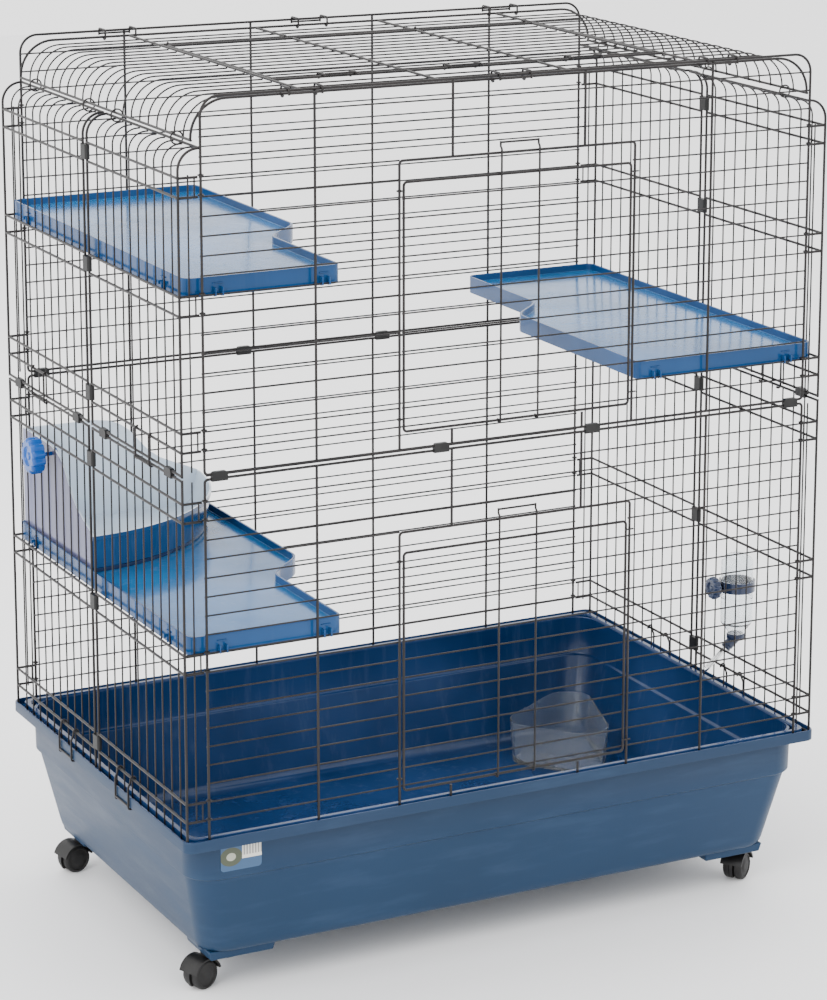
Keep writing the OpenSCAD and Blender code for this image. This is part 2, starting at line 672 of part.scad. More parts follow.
// Outline of the shelf, drawn in by inset: round corners, and a soft step where the shelf gets wider
function shelf_points(inset) = let (
    r = shelf_r - inset,
    x0 = -shelf_x + inset, x1 = -(shelf_x - shelf_narrow) - inset, x2 = -(shelf_x - shelf_wide) - inset,
    y = shelf_y - inset,
    wider = shelf_wide - shelf_narrow, run = step_y1 - step_y0)
    concat(
        arc_points([x0 + r, -y + r], r, 180),
        arc_points([x1 - r, -y + r], r, 270),
        [for (i = [0:12]) let (t = i / 12, slope = wider * PI / 2 * sin(180 * t) / run, n = norm([1, slope]))
            [x1 + inset + wider * (1 - cos(180 * t)) / 2 - inset / n, step_y0 + run * t + inset * slope / n]],
        arc_points([x2 - r, y - r], r, 0),
        arc_points([x0 + r, y - r], r, 90));

// Pair of fins that stand out from the shelf and straddle a wire of radius r, reach away from its wall
lug_up = 12;
module lug(reach, r) for (s = [-1, 1]) difference() {
    translate([s * 5 - 1, -reach - r - seat - 1.8, 0]) cube([2, reach + r + seat + 1.8 + 0.5, lug_up]);
    translate([s * 5 - 2, -reach - r - seat, -1]) cube([4, 2 * (r + seat), 1 + 3 + r + seat]);
}

module shelf() color(blue) {
    difference() {
        linear_extrude(shelf_h) polygon(shelf_points(0));
        translate([0, 0, shelf_h - shelf_sink]) linear_extrude(shelf_h) polygon(shelf_points(shelf_wall));
        translate([0, 0, -1]) linear_extrude(shelf_h - shelf_sink - shelf_wall + 1) polygon(shelf_points(shelf_wall));
    }
    for (x = [45, shelf_narrow - 25]) translate([-shelf_x + x, -shelf_y, 0]) lug(shelf_clear + thin, thin);
    for (x = [45, shelf_wide - 25]) translate([-shelf_x + x, shelf_y, 0]) rotate([0, 0, 180])
        lug(shelf_clear + thin, thin);
    for (y = [-side_end + 2.5 * side_pitch, side_end - 2.5 * side_pitch]) translate([-shelf_x, y, 0])
        rotate([0, 0, -90]) lug(side_x - shelf_x, tr);
}
low_shelf_z = row_z(low_z0, 9) - 3;
mid_shelf_z = row_z(up_z0, 1) - 3;
top_shelf_z = row_z(up_z0, 8) - 3;
module shelf_low_left() translate([0, 0, low_shelf_z]) shelf();
module shelf_top_left() translate([0, 0, top_shelf_z]) shelf();
module shelf_middle_right() translate([0, 0, mid_shelf_z]) rotate([0, 0, 180]) shelf();

/* Litter pan in the back left corner of the low shelf */
pan_wall = 2.5;
pan_in = 6;
pan_z = low_shelf_z + shelf_h - shelf_sink + seat;
// the square corner of the pan clears the rounded corner of the shelf
pan_gap = (shelf_r - shelf_wall) * (1 - sqrt(0.5)) + 0.5;
pan_x = -shelf_x + shelf_wall + pan_gap;
pan_y = shelf_y - shelf_wall - pan_gap;
knob_y = side_end - 4.5 * side_pitch;
knob_z = pan_z + pan_h - 12;

// Section of the pan: high at the corner, falling in a hollow curve to the low front
module pan_section(off) difference() {
    translate([0, off]) square([pan_r - off, pan_h + (off > 0 ? 20 : 0)]);
    if (off == 0) {
        fall = pan_h - pan_low;
        translate([pan_r + 12, pan_low + fall * 1.35]) circle(r = fall * 1.35, $fn = 96);
        translate([pan_r - 1, pan_low]) square([20, pan_h]);
    }
}
module litter_pan() color(blue) translate([pan_x, pan_y, pan_z]) difference() {
    rotate([0, 0, -90]) rotate_extrude(angle = 90, $fn = 96) pan_section(0);
    translate([pan_wall, -pan_wall, 0]) rotate([0, 0, -90]) rotate_extrude(angle = 90, $fn = 96)
        pan_section(pan_wall);
    translate([-1, knob_y - pan_y, knob_z - pan_z]) rotate([0, 90, 0]) cylinder(r = 3.4, h = 2 * pan_wall + 2);
}

knob_d = 52;
knob_t = 20;
module pan_knob() color(blue) translate([-side_x - tr - 1, knob_y, knob_z]) rotate([0, -90, 0]) {
    difference() {
        cylinder(d = knob_d, h = knob_t, $fn = 64);
        for (a = [0:30:330]) rotate([0, 0, a]) translate([knob_d / 2 + 2.5, 0, -1]) cylinder(r = 4.5, h = knob_t + 2);
    }
    translate([0, 0, -(pan_x + side_x + tr + 1) - 7]) cylinder(r = 3, h = pan_x + side_x + tr + 8);
    translate([0, 0, -(pan_x + side_x + tr + 1) - pan_wall - 4]) cylinder(r = 8, h = 3.5);
}

/* Bottle outside the right side panel */
bottle_y = -69.5;
bottle_x = side_x + tr + 4 + bottle_d / 2;
spout_tilt = 50;
spout_in = 3;
neck_h = 16;
cap_h = 9;
// the spout passes midway between the two lowest belts
bottle_z = (row_z(low_z0, 0) + row_z(low_z0, 1)) / 2 + (bottle_x - spout_in - side_x) / tan(spout_tilt)
    + cap_h + neck_h + 0.2;
module bottle() color(clear) translate([bottle_x, bottle_y, bottle_z]) rotate_extrude($fn = 64) {
    square([bottle_d / 2, bottle_h - 14]);
    translate([0, bottle_h - 14]) intersection() {
        square([bottle_d / 2, 14]);
        translate([0, -bottle_d / 2 + 10]) circle(r = bottle_d / 2 + 3, $fn = 64);
    }
    polygon([[0, -neck_h], [13, -neck_h], [bottle_d / 2, 0], [0, 0]]);
}
module cap_frame() translate([bottle_x, bottle_y, bottle_z - neck_h - 0.2 - cap_h]) children();
module bottle_cap() color(black) cap_frame() {
    cylinder(r = 14, h = cap_h);
    translate([-spout_in, 0, 0]) rotate([0, 180 + spout_tilt, 0]) cylinder(r = 8, h = 20);
}
module bottle_spout() color("silver") cap_frame()
    translate([-spout_in, 0, 0]) rotate([0, 180 + spout_tilt, 0]) translate([0, 0, 20.1])
        cylinder(r = 4, h = 46);
bracket_z = bottle_z + 58;
module bottle_bracket() color(black) translate([bottle_x, bottle_y, bracket_z]) difference() {
    union() {
        translate([0, 0, -8]) cylinder(r = bottle_d / 2 + 3, h = 16, $fn = 64);
        translate([-(bottle_x - side_x - tr - 0.6), -8, -8]) cube([10, 16, 16]);
        translate([-(bottle_x - side_x) - 14, 0, 0]) rotate([0, 90, 0]) cylinder(r = 3, h = 20);
    }
    translate([0, 0, -20]) cylinder(r = bottle_d / 2 + 0.3, h = 40, $fn = 64);
}
module bottle_knob() color(black) translate([thin_x - thin - 0.6, bottle_y, bracket_z]) rotate([0, -90, 0])
    difference() {
        cylinder(d = 34, h = 12, $fn = 48);
        for (a = [0:30:330]) rotate([0, 0, a]) translate([18.5, 0, -1]) cylinder(r = 3, h = 14);
        translate([0, 0, -1]) cylinder(r = 3 + running, h = 12);
    }

/* Bowl on the tray's floor */
bowl_at = [[304, 178, 40], [354, 118, 42], [396, 236, 38]];
bowl_wall = 2.5;
bowl_z = tray_z + tray_wall + seat;
bowl_draft = 7;
module bowl_solid(off, z0, z1) hull() for (p = bowl_at) translate([p[0], p[1], z0])
    cylinder(r1 = p[2] - bowl_draft - off, r2 = p[2] - off, h = z1 - z0, $fn = 40);
module bowl() color(clear) translate([rim_w / 2 - 482.5, rim_d / 2 - 323, bowl_z]) difference() {
    bowl_solid(0, 0, bowl_h);
    bowl_solid(bowl_wall, bowl_wall, bowl_h + 1);
}

// Everything is drawn from the tray's middle, then moved so that the whole object is centred
reach_left = side_x + tr + 1 + knob_t;
reach_right = bottle_x + bottle_d / 2 + 3;
module place() translate([(reach_left - reach_right) / 2, 0, 0]) children();

place() tray();
place() tray_label();
place() castor_hood_fl();
place() castor_hood_fr();
place() castor_hood_bl();
place() castor_hood_br();
place() castor_wheels_fl();
place() castor_wheels_fr();
place() castor_wheels_bl();
place() castor_wheels_br();
place() front_panel_lower();
place() front_panel_upper();
place() back_panel_lower();
place() back_panel_upper();
place() left_front_panel_lower();
place() left_back_panel_lower();
place() right_front_panel_lower();
place() right_back_panel_lower();
place() left_front_panel_upper();
place() left_back_panel_upper();
place() right_front_panel_upper();
place() right_back_panel_upper();
place() corner_rings_lower();
place() corner_rings_upper();
place() fold_sleeves();
place() tier_clips();
place() roof_panel();
place() roof_end_rings();
place() roof_clips();
place() roof_door();
place() roof_latch_left();
place() roof_latch_mid();
place() roof_latch_right();
place() door_lower();
place() door_upper();
place() door_latch_lower();
place() door_latch_upper();
place() base_bail_lf();
place() base_bail_lb();
place() base_bail_rf();
place() base_bail_rb();
place() tier_bail_lf();
place() tier_bail_lb();
place() tier_bail_rf();
place() tier_bail_rb();
place() shelf_top_left();
place() shelf_middle_right();
place() shelf_low_left();
place() litter_pan();
place() pan_knob();
place() bottle();
place() bottle_cap();
place() bottle_spout();
place() bottle_bracket();
place() bottle_knob();
place() bowl();
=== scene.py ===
import json
import math

import bmesh
import bpy
from mathutils import Matrix, Vector


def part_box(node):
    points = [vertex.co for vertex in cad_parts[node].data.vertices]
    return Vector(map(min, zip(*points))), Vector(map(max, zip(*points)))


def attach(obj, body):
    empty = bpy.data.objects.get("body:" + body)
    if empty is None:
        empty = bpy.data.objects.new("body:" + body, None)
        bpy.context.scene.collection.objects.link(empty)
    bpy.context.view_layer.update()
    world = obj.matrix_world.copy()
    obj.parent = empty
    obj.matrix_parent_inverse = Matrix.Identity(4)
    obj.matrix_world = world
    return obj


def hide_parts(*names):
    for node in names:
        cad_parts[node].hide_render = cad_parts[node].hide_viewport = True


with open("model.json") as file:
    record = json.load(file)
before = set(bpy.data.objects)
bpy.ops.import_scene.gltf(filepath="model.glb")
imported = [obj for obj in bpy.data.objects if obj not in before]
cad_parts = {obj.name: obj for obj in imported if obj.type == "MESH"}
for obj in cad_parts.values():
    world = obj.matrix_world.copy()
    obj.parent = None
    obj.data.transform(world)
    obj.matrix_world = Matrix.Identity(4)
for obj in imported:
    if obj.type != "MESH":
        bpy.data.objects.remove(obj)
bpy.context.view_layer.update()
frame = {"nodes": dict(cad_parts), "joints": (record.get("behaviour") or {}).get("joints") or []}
trayLow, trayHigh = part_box("tray")
# the tray's middle; the whole object's middle lies a little to its right
midX = (trayLow[0] + trayHigh[0]) / 2
print("frame loaded:", len(frame["nodes"]), "nodes")


# Shader maths
class Flow:
    def __init__(self, finish, socket):
        self.finish, self.socket = finish, socket

    def calc(self, operation, other=None, flip=False):
        first, second = (other, self) if flip else (self, other)
        values = {0: first} if second is None else {0: first, 1: second}
        return self.finish.node("ShaderNodeMath", {"operation": operation}, values)

    def __add__(self, other):
        return self.calc("ADD", other)

    def __sub__(self, other):
        return self.calc("SUBTRACT", other)

    def __rsub__(self, other):
        return self.calc("SUBTRACT", other, flip=True)

    def __mul__(self, other):
        return self.calc("MULTIPLY", other)

    __radd__ = __add__
    __rmul__ = __mul__

    def over(self, edge):
        return self.calc("GREATER_THAN", edge)

    def under(self, edge):
        return self.calc("LESS_THAN", edge)


class Finish:
    def __init__(self, name, **fixed):
        self.material = bpy.data.materials.new(name)
        self.material.use_nodes = True
        self.tree = self.material.node_tree
        self.shader = self.tree.nodes["Principled BSDF"]
        for socket, value in fixed.items():
            self.shader.inputs[socket.replace("_", " ")].default_value = value

    def node(self, kind, settings=None, values=None, out=0):
        made = self.tree.nodes.new(kind)
        for key, value in (settings or {}).items():
            if key == "stops":
                ramp = made.color_ramp
                while len(ramp.elements) < len(value):
                    ramp.elements.new(0.5)
                for element, (place, colour) in zip(ramp.elements, value):
                    element.position, element.color = place, colour
            else:
                setattr(made, key, value)
        for key, value in (values or {}).items():
            self.feed(made.inputs[key], value)
        return Flow(self, made.outputs[out])

    def feed(self, socket, value):
        if isinstance(value, Flow):
            self.tree.links.new(value.socket, socket)
        else:
            socket.default_value = value

    def set(self, **sockets):
        for name, value in sockets.items():
            self.feed(self.shader.inputs[name.replace("_", " ")], value)
        return self

    def place(self):
        return self.node("ShaderNodeTexCoord", out=3)

    def axis(self, index):
        return self.node("ShaderNodeSeparateXYZ", None, {0: self.place()}, out=index)

    def noise(self, scale, detail=3.0, rough=0.5, stretch=(1, 1, 1)):
        at = self.node("ShaderNodeMapping", None, {"Vector": self.place(), "Scale": stretch})
        return self.node(
            "ShaderNodeTexNoise", None, {"Vector": at, "Scale": scale, "Detail": detail, "Roughness": rough}
        )

    def band(self, value, low, high, toLow=0.0, toHigh=1.0):
        return self.node("ShaderNodeMapRange", None, {0: value, 1: low, 2: high, 3: toLow, 4: toHigh})

    def mix(self, amount, a, b):
        return self.node("ShaderNodeMix", {"data_type": "RGBA"}, {0: amount, 6: a, 7: b}, out=2)

    def bump(self, height, strength, distance):
        return self.node(
            "ShaderNodeBump", None, {"Height": height, "Strength": strength, "Distance": distance}
        )


def rgb(red, green, blue):
    return (red, green, blue, 1.0)


wireLook = {"dark": rgb(0.006, 0.005, 0.0055), "pale": rgb(0.017, 0.014, 0.0135), "gloss": 0.36}
plasticLook = {
    "trayOutside": rgb(0.008, 0.030, 0.072),
    "trayInside": rgb(0.0002, 0.020, 0.078),
    "shelfRim": rgb(0.0002, 0.040, 0.135),
    "shelfFloorSheen": rgb(0.003, 0.085, 0.23),
    "panOutside": rgb(0.003, 0.045, 0.14),
    "panInside": rgb(0.52, 0.60, 0.68),
}


def coatedWire():
    f = Finish("coated wire", Metallic=0.1, Specular_IOR_Level=0.3)
    blotch, grain = f.noise(14, 4), f.noise(700, 2)
    f.set(
        Base_Color=f.mix(f.band(blotch, 0.35, 0.75), wireLook["dark"], wireLook["pale"]),
        Roughness=f.band(grain, 0.3, 0.7, wireLook["gloss"] - 0.08, wireLook["gloss"] + 0.14),
        Normal=f.bump(grain, 0.25, 0.0003),
    )
    return f.material


def mouldedPlastic(name, colour, gloss, texture=0.0, coat=0.3, scuffs=0.04, wash=0.12):
    f = Finish(name, Coat_Roughness=0.08, IOR=1.35, Specular_IOR_Level=0.4)
    cloudy, fine = f.noise(5, 3), f.noise(1400, 2)
    streaks = f.noise(60, 5, 0.6, (1, 1, 0.12))
    lighter = rgb(*[min(1, c * 1.35 + 0.012) for c in colour[:3]])
    darker = rgb(*[c * 0.8 for c in colour[:3]])
    tone = f.mix(f.band(cloudy, 0.3, 0.7), darker, lighter)
    f.set(
        Base_Color=f.mix(f.band(streaks, 0.55, 0.8, 0.0, wash), tone, rgb(0.55, 0.62, 0.72)),
        Roughness=f.band(streaks, 0.3, 0.8, gloss, gloss + scuffs) + fine * 0.03,
        Coat_Weight=f.band(streaks, 0.4, 0.8, coat, coat * 0.7),
        Normal=f.bump(fine * texture + cloudy * 0.4, 0.12 + texture * 0.5, 0.0005),
    )
    return f.material


def trayOutside():
    # dull, finely grained face; paler above the step; a painted sheen of pale blue along the drag streaks
    # stands in for where the grain catches the light
    f = Finish("tray outside", IOR=1.4, Specular_IOR_Level=0.3)
    height = f.axis(2)
    grain, cloudy = f.noise(1100, 3), f.noise(3, 4)
    dragAndSheen = f.noise(26, 6, 0.62, (0.25, 0.25, 1.6))
    base = f.mix(f.band(cloudy, 0.3, 0.7), rgb(0.0065, 0.026, 0.062), plasticLook["trayOutside"])
    warm = f.mix(
        f.band(height, 0.172, 0.2, 0.0, 0.55) * f.band(cloudy, 0.2, 0.9), base, rgb(0.017, 0.027, 0.052)
    )
    f.set(
        # painted sheen: pale blue mixed into the colour along the drag streaks, which also roughen and bump
        # the face
        Base_Color=f.mix(f.band(dragAndSheen, 0.5, 0.85, 0.0, 0.22), warm, rgb(0.06, 0.11, 0.19)),
        Roughness=f.band(dragAndSheen, 0.3, 0.8, 0.34, 0.48),
        Normal=f.bump(grain + dragAndSheen * 0.5, 0.3, 0.0004),
    )
    return f.material


def clearPlastic(name, colour, rough=0.03, bend=1.45, ripple=0.1):
    f = Finish(name, IOR=bend, Transmission_Weight=0.96)
    smear = f.noise(30, 3)
    f.set(
        Base_Color=colour,
        Roughness=f.band(smear, 0.4, 0.8, rough, rough + ripple * 0.5),
        Normal=f.bump(smear, ripple, 0.001),
    )
    return f.material


def darkPlastic(name, colour, gloss):
    f = Finish(name, Specular_IOR_Level=0.3)
    dust, grain = f.noise(40, 4), f.noise(900, 2)
    f.set(
        Base_Color=f.mix(f.band(dust, 0.45, 0.8, 0.0, 0.35), colour, rgb(0.035, 0.034, 0.033)),
        Roughness=f.band(grain, 0.3, 0.7, gloss, gloss + 0.12),
        Normal=f.bump(grain, 0.3, 0.0003),
    )
    return f.material


def spoutSteel():
    f = Finish("spout steel", Metallic=1.0)
    lines = f.noise(220, 3, 0.6, (1, 1, 8))
    f.set(
        Base_Color=f.mix(lines, rgb(0.55, 0.56, 0.57), rgb(0.78, 0.78, 0.78)),
        Roughness=f.band(lines, 0.3, 0.7, 0.14, 0.3),
    )
    return f.material


def labelPrint(left, width, bottom, height):
    # a dark oval badge beside a pale block of plain bars, no lettering
    f = Finish("label print", Roughness=0.35)
    u = f.band(f.axis(0), left, left + width)
    v = f.band(f.axis(2), bottom, bottom + height)
    dx, dy = u * 2.6 - 0.66, v * 2.1 - 1.05
    oval = (dx * dx + dy * dy).under(0.5)
    core = (dx * dx + dy * dy).under(0.09)
    bars = (u * 90.0).calc("SINE").over(-0.2)
    block = u.over(0.52) * v.over(0.38)
    worn = f.noise(160, 4)
    base = f.mix(oval, rgb(0.022, 0.07, 0.155), f.mix(core, rgb(0.045, 0.055, 0.03), rgb(0.32, 0.33, 0.27)))
    stripe = f.mix(bars * v.over(0.5) * v.under(0.88), rgb(0.62, 0.61, 0.56), rgb(0.24, 0.24, 0.23))
    f.set(
        Base_Color=f.mix(block, base, stripe),
        Roughness=f.band(worn, 0.3, 0.7, 0.28, 0.42),
        Normal=f.bump(worn, 0.1, 0.0003),
    )
    return f.material


wireMat = coatedWire()
trayOutMat = trayOutside()
trayInMat = mouldedPlastic("tray inside", plasticLook["trayInside"], 0.12, 0.05, 0.12, 0.1, 0.03)
shelfRimMat = mouldedPlastic("shelf rim", plasticLook["shelfRim"], 0.16, 0.05, 0.1, 0.08, 0.01)
# shelf floor: the shelf's own blue plastic, lightened by a painted reflection, so it is paler than the rim
# of the same moulding
shelfFloorSheenMat = mouldedPlastic("shelf floor sheen", plasticLook["shelfFloorSheen"], 0.16, 0.1, 0.15, 0.06, 0.05)
panOutMat = mouldedPlastic("pan outside", plasticLook["panOutside"], 0.14, 0.0, 0.3, 0.06, 0.06)
panInMat = mouldedPlastic("pan inside", plasticLook["panInside"], 0.12, 0.0, 0.5, 0.05, 0.3)
panFootMat = mouldedPlastic("pan foot", rgb(0.006, 0.02, 0.07), 0.15, 0.0, 0.8)
# paler lavender copy of the pan's blue plastic: painted light on the outer side wall that faces left,
# towards the key lamp
panLitWallMat = mouldedPlastic("pan lit wall", rgb(0.105, 0.11, 0.2), 0.16, 0.0, 0.2, 0.05, 0.1)
knobMat = mouldedPlastic("pan knob", rgb(0.0005, 0.065, 0.3), 0.14, 0.0, 0.3, 0.05, 0.02)
navyMat = mouldedPlastic("navy plastic", rgb(0.006, 0.016, 0.05), 0.2, 0.1, 0.5)
blackMat = darkPlastic("clip black", rgb(0.004, 0.004, 0.0043), 0.42)
castorMat = darkPlastic("castor black", rgb(0.005, 0.0047, 0.0047), 0.36)
tyreMat = darkPlastic("wheel black", rgb(0.007, 0.0065, 0.0065), 0.46)
bottleMat = clearPlastic("bottle plastic", rgb(0.93, 0.96, 0.98))
bowlMat = clearPlastic("bowl plastic", rgb(0.97, 0.99, 1.0), 0.0, 1.12, 0.004)
steelMat = spoutSteel()
print("materials made")


# Modelling helpers
def addPiece(name, bm, body, materials, replaced=(), edge=0.0, steps=2):
    bmesh.ops.remove_doubles(bm, verts=bm.verts, dist=1e-6)
    bmesh.ops.recalc_face_normals(bm, faces=bm.faces)
    mesh = bpy.data.meshes.new(name)
    bm.to_mesh(mesh)
    bm.free()
    for material in materials:
        mesh.materials.append(material)
    mesh.polygons.foreach_set("use_smooth", [True] * len(mesh.polygons))
    mesh.set_sharp_from_angle(angle=math.radians(35))
    piece = bpy.data.objects.new(name, mesh)
    bpy.context.collection.objects.link(piece)
    if edge:
        soft = piece.modifiers.new("soft edges", "BEVEL")
        soft.width, soft.segments, soft.limit_method, soft.angle_limit = edge, steps, "ANGLE", math.radians(
            32
        )
        soft.harden_normals = True
    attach(piece, body)
    if replaced:
        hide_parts(*replaced)
    return piece


def roundVerts(bm, points, offset, segments):
    verts = [v for v in bm.verts if any((v.co - Vector(p)).length < 1e-6 for p in points)]
    bmesh.ops.bevel(
        bm,
        geom=verts,
        offset=offset,
        offset_type="OFFSET",
        affect="VERTICES",
        segments=segments,
        profile=0.5,
        material=-1,
    )


def flatPlate(bm, points):
    return bm.faces.new([bm.verts.new(p) for p in points])


def roundedRectangle(bm, width, depth, z, radius, segments=10):
    x, y = width / 2, depth / 2
    points = [(midX - x, -y, z), (midX + x, -y, z), (midX + x, y, z), (midX - x, y, z)]
    flatPlate(bm, points)
    roundVerts(bm, points, radius, segments)
    bm.faces.ensure_lookup_table()
    return bm.faces[-1] if len(bm.faces) > 1 else bm.faces[0]


def walls(face, slot):
    for e in face.edges:
        for f in e.link_faces:
            if f is not face:
                f.material_index = slot


def startSolid(bm, face):
    made = bmesh.ops.extrude_face_region(bm, geom=[face], use_keep_orig=True)["geom"]
    return [g for g in made if isinstance(g, bmesh.types.BMFace)][-1]


def moveFace(bm, face, inset, up, slot=0):
    # carries a face to its next outline: up along Z by up, and in by inset on every side
    new = bmesh.ops.extrude_discrete_faces(bm, faces=[face])["faces"][0]
    xs, ys = [v.co.x for v in new.verts], [v.co.y for v in new.verts]
    width, depth = max(xs) - min(xs), max(ys) - min(ys)
    centre = Vector(((max(xs) + min(xs)) / 2, (max(ys) + min(ys)) / 2, 0))
    grow = Vector(((width - 2 * inset) / width, (depth - 2 * inset) / depth, 1))
    bmesh.ops.scale(bm, vec=grow, space=Matrix.Translation(-centre), verts=new.verts[:])
    bmesh.ops.translate(bm, vec=(0, 0, up), verts=new.verts[:])
    walls(new, slot)
    return new


def turned(bm, profile, steps=48, frameOf=Matrix(), slot=0):
    # profile of (radius, height) points turned once round the local Z axis
    before = set(bm.faces)
    verts = [bm.verts.new((r, 0, z)) for r, z in profile]
    edges = [bm.edges.new(pair) for pair in zip(verts, verts[1:])]
    bmesh.ops.spin(
        bm, geom=verts + edges, cent=(0, 0, 0), axis=(0, 0, 1), angle=math.tau, steps=steps, use_merge=True
    )
    fresh = [f for f in bm.faces if f not in before]
    around = list({v for f in fresh for v in f.verts})
    bmesh.ops.transform(bm, matrix=frameOf, verts=around)
    for f in fresh:
        f.material_index = slot
    bmesh.ops.remove_doubles(bm, verts=around, dist=1e-6)


def block(bm, centre, size, slot=0, taper=1.0):
    made = bmesh.ops.create_cube(
        bm, size=1.0, matrix=Matrix.Translation(centre) @ Matrix.Diagonal((*size, 1))
    )["verts"]
    if taper != 1.0:
        low = min(v.co.z for v in made)
        bmesh.ops.scale(
            bm,
            vec=(taper, taper, 1),
            space=Matrix.Translation(-Vector(centre)),
            verts=[v for v in made if v.co.z < low + 1e-6],
        )
    for f in {f for v in made for f in v.link_faces}:
        f.material_index = slot
    return made


def flute(bm, verts, count, depth, centre):
    for v in verts:
        offset = v.co - centre
        angle = math.atan2(offset.z, offset.y)
        pull = 1 - depth * (0.5 + 0.5 * math.cos(count * angle)) ** 1.5
        v.co.y, v.co.z = centre.y + offset.y * pull, centre.z + offset.z * pull


# Tray
tray = {
    "width": trayHigh[0] - trayLow[0],
    "depth": trayHigh[1] - trayLow[1],
    "rim": trayHigh[2],
    "footHeight": 0.060,
    "footInset": 0.050,
    "pad": (0.096, 0.084, 0.013),
    "bodyCorner": 0.036,
    "rimCorner": 0.014,
    "outside": [
        (0.0608, 0.0478), (0.0628, 0.0458), (0.066, 0.0440), (0.072, 0.0424), (0.174, 0.0208),
        (0.1758, 0.0172), (0.1775, 0.0164), (0.237, 0.0152),
    ],
    "inside": [
        (0.2375, 0.0190), (0.1800, 0.0198), (0.1776, 0.0208), (0.1764, 0.0236), (0.0750, 0.0456),
        (0.0688, 0.0478), (0.0650, 0.0510), (0.0632, 0.0560),
    ],
    "rimSection": [
        (0.2384, 0.0), (0.2400, 0.0006), (0.2400, 0.0022), (0.2392, 0.0025), (0.2320, 0.0025),
        (0.2320, 0.0105), (0.2392, 0.0105), (0.2400, 0.0108), (0.2400, 0.0172), (0.2380, 0.0186),
        (0.2260, 0.0190),
    ],
}


def makeTray():
    bm = bmesh.new()
    z, inset = tray["footHeight"], tray["footInset"]
    face = roundedRectangle(bm, tray["width"] - 2 * inset, tray["depth"] - 2 * inset, z, tray["bodyCorner"])
    face = startSolid(bm, face)
    for slot, steps in ((0, tray["outside"]), (1, tray["inside"])):
        for nextZ, nextInset in steps:
            face = moveFace(bm, face, nextInset - inset, nextZ - z, slot)
            z, inset = nextZ, nextInset
    face.material_index = 1
    addPiece("trayBody", bm, "cage", [trayOutMat, trayInMat], ["tray"], 0.0012, 2)

    bm = bmesh.new()
    z, inset = 0.225, 0.0
    bottom = roundedRectangle(bm, tray["width"], tray["depth"], z, tray["rimCorner"], 6)
    first = startSolid(bm, bottom)
    face = first
    for nextZ, nextInset in tray["rimSection"]:
        face = moveFace(bm, face, nextInset - inset, nextZ - z, 0 if nextInset < 0.001 else 1)
        z, inset = nextZ, nextInset
    ends = [f for f in bm.faces if len(f.verts) > 4]
    loops = [e for f in ends for e in f.edges]
    bmesh.ops.delete(bm, geom=ends, context="FACES_ONLY")
    bmesh.ops.bridge_loops(bm, edges=loops)
    addPiece("trayRim", bm, "cage", [trayOutMat, trayInMat], (), 0.0005, 2)

    bm = bmesh.new()
    foot = tray["footInset"] + 0.002
    for sx in (-1, 1):
        for sy in (-1, 1):
            across = tray["width"] / 2 - foot - tray["pad"][0] / 2
            along = tray["depth"] / 2 - foot - tray["pad"][1] / 2
            block(bm, (midX + sx * across, sy * along, 0.0545), tray["pad"], 0, 0.94)
    addPiece("castorPads", bm, "cage", [trayOutMat], (), 0.002, 3)


makeTray()
print("tray made")


# Label
labelCorner = 0.005


def makeLabel():
    low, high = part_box("tray_label")
    bm = bmesh.new()
    made = block(
        bm, [(a + b) / 2 for a, b in zip(low, high)], [high[0] - low[0], high[1] - low[1], high[2] - low[2]]
    )
    sides = [e for e in bm.edges if abs(e.verts[0].co.y - e.verts[1].co.y) > 1e-5]
    bmesh.ops.bevel(
        bm,
        geom=sides,
        offset=labelCorner,
        offset_type="OFFSET",
        affect="EDGES",
        segments=6,
        profile=0.5,
        material=-1,
    )
    addPiece(
        "trayLabel",
        bm,
        "cage",
        [labelPrint(low[0], high[0] - low[0], low[2], high[2] - low[2])],
        ["tray_label"],
    )


makeLabel()

# Shelves
shelf = {
    "outer": 0.469,
    "side": 0.309,
    "narrow": 0.217,
    "wide": 0.279,
    "height": 0.025,
    "wall": 0.0034,
    "sink": 0.010,
    "corner": 0.014,
    "stepStart": -0.109,
    "stepEnd": -0.020,
}


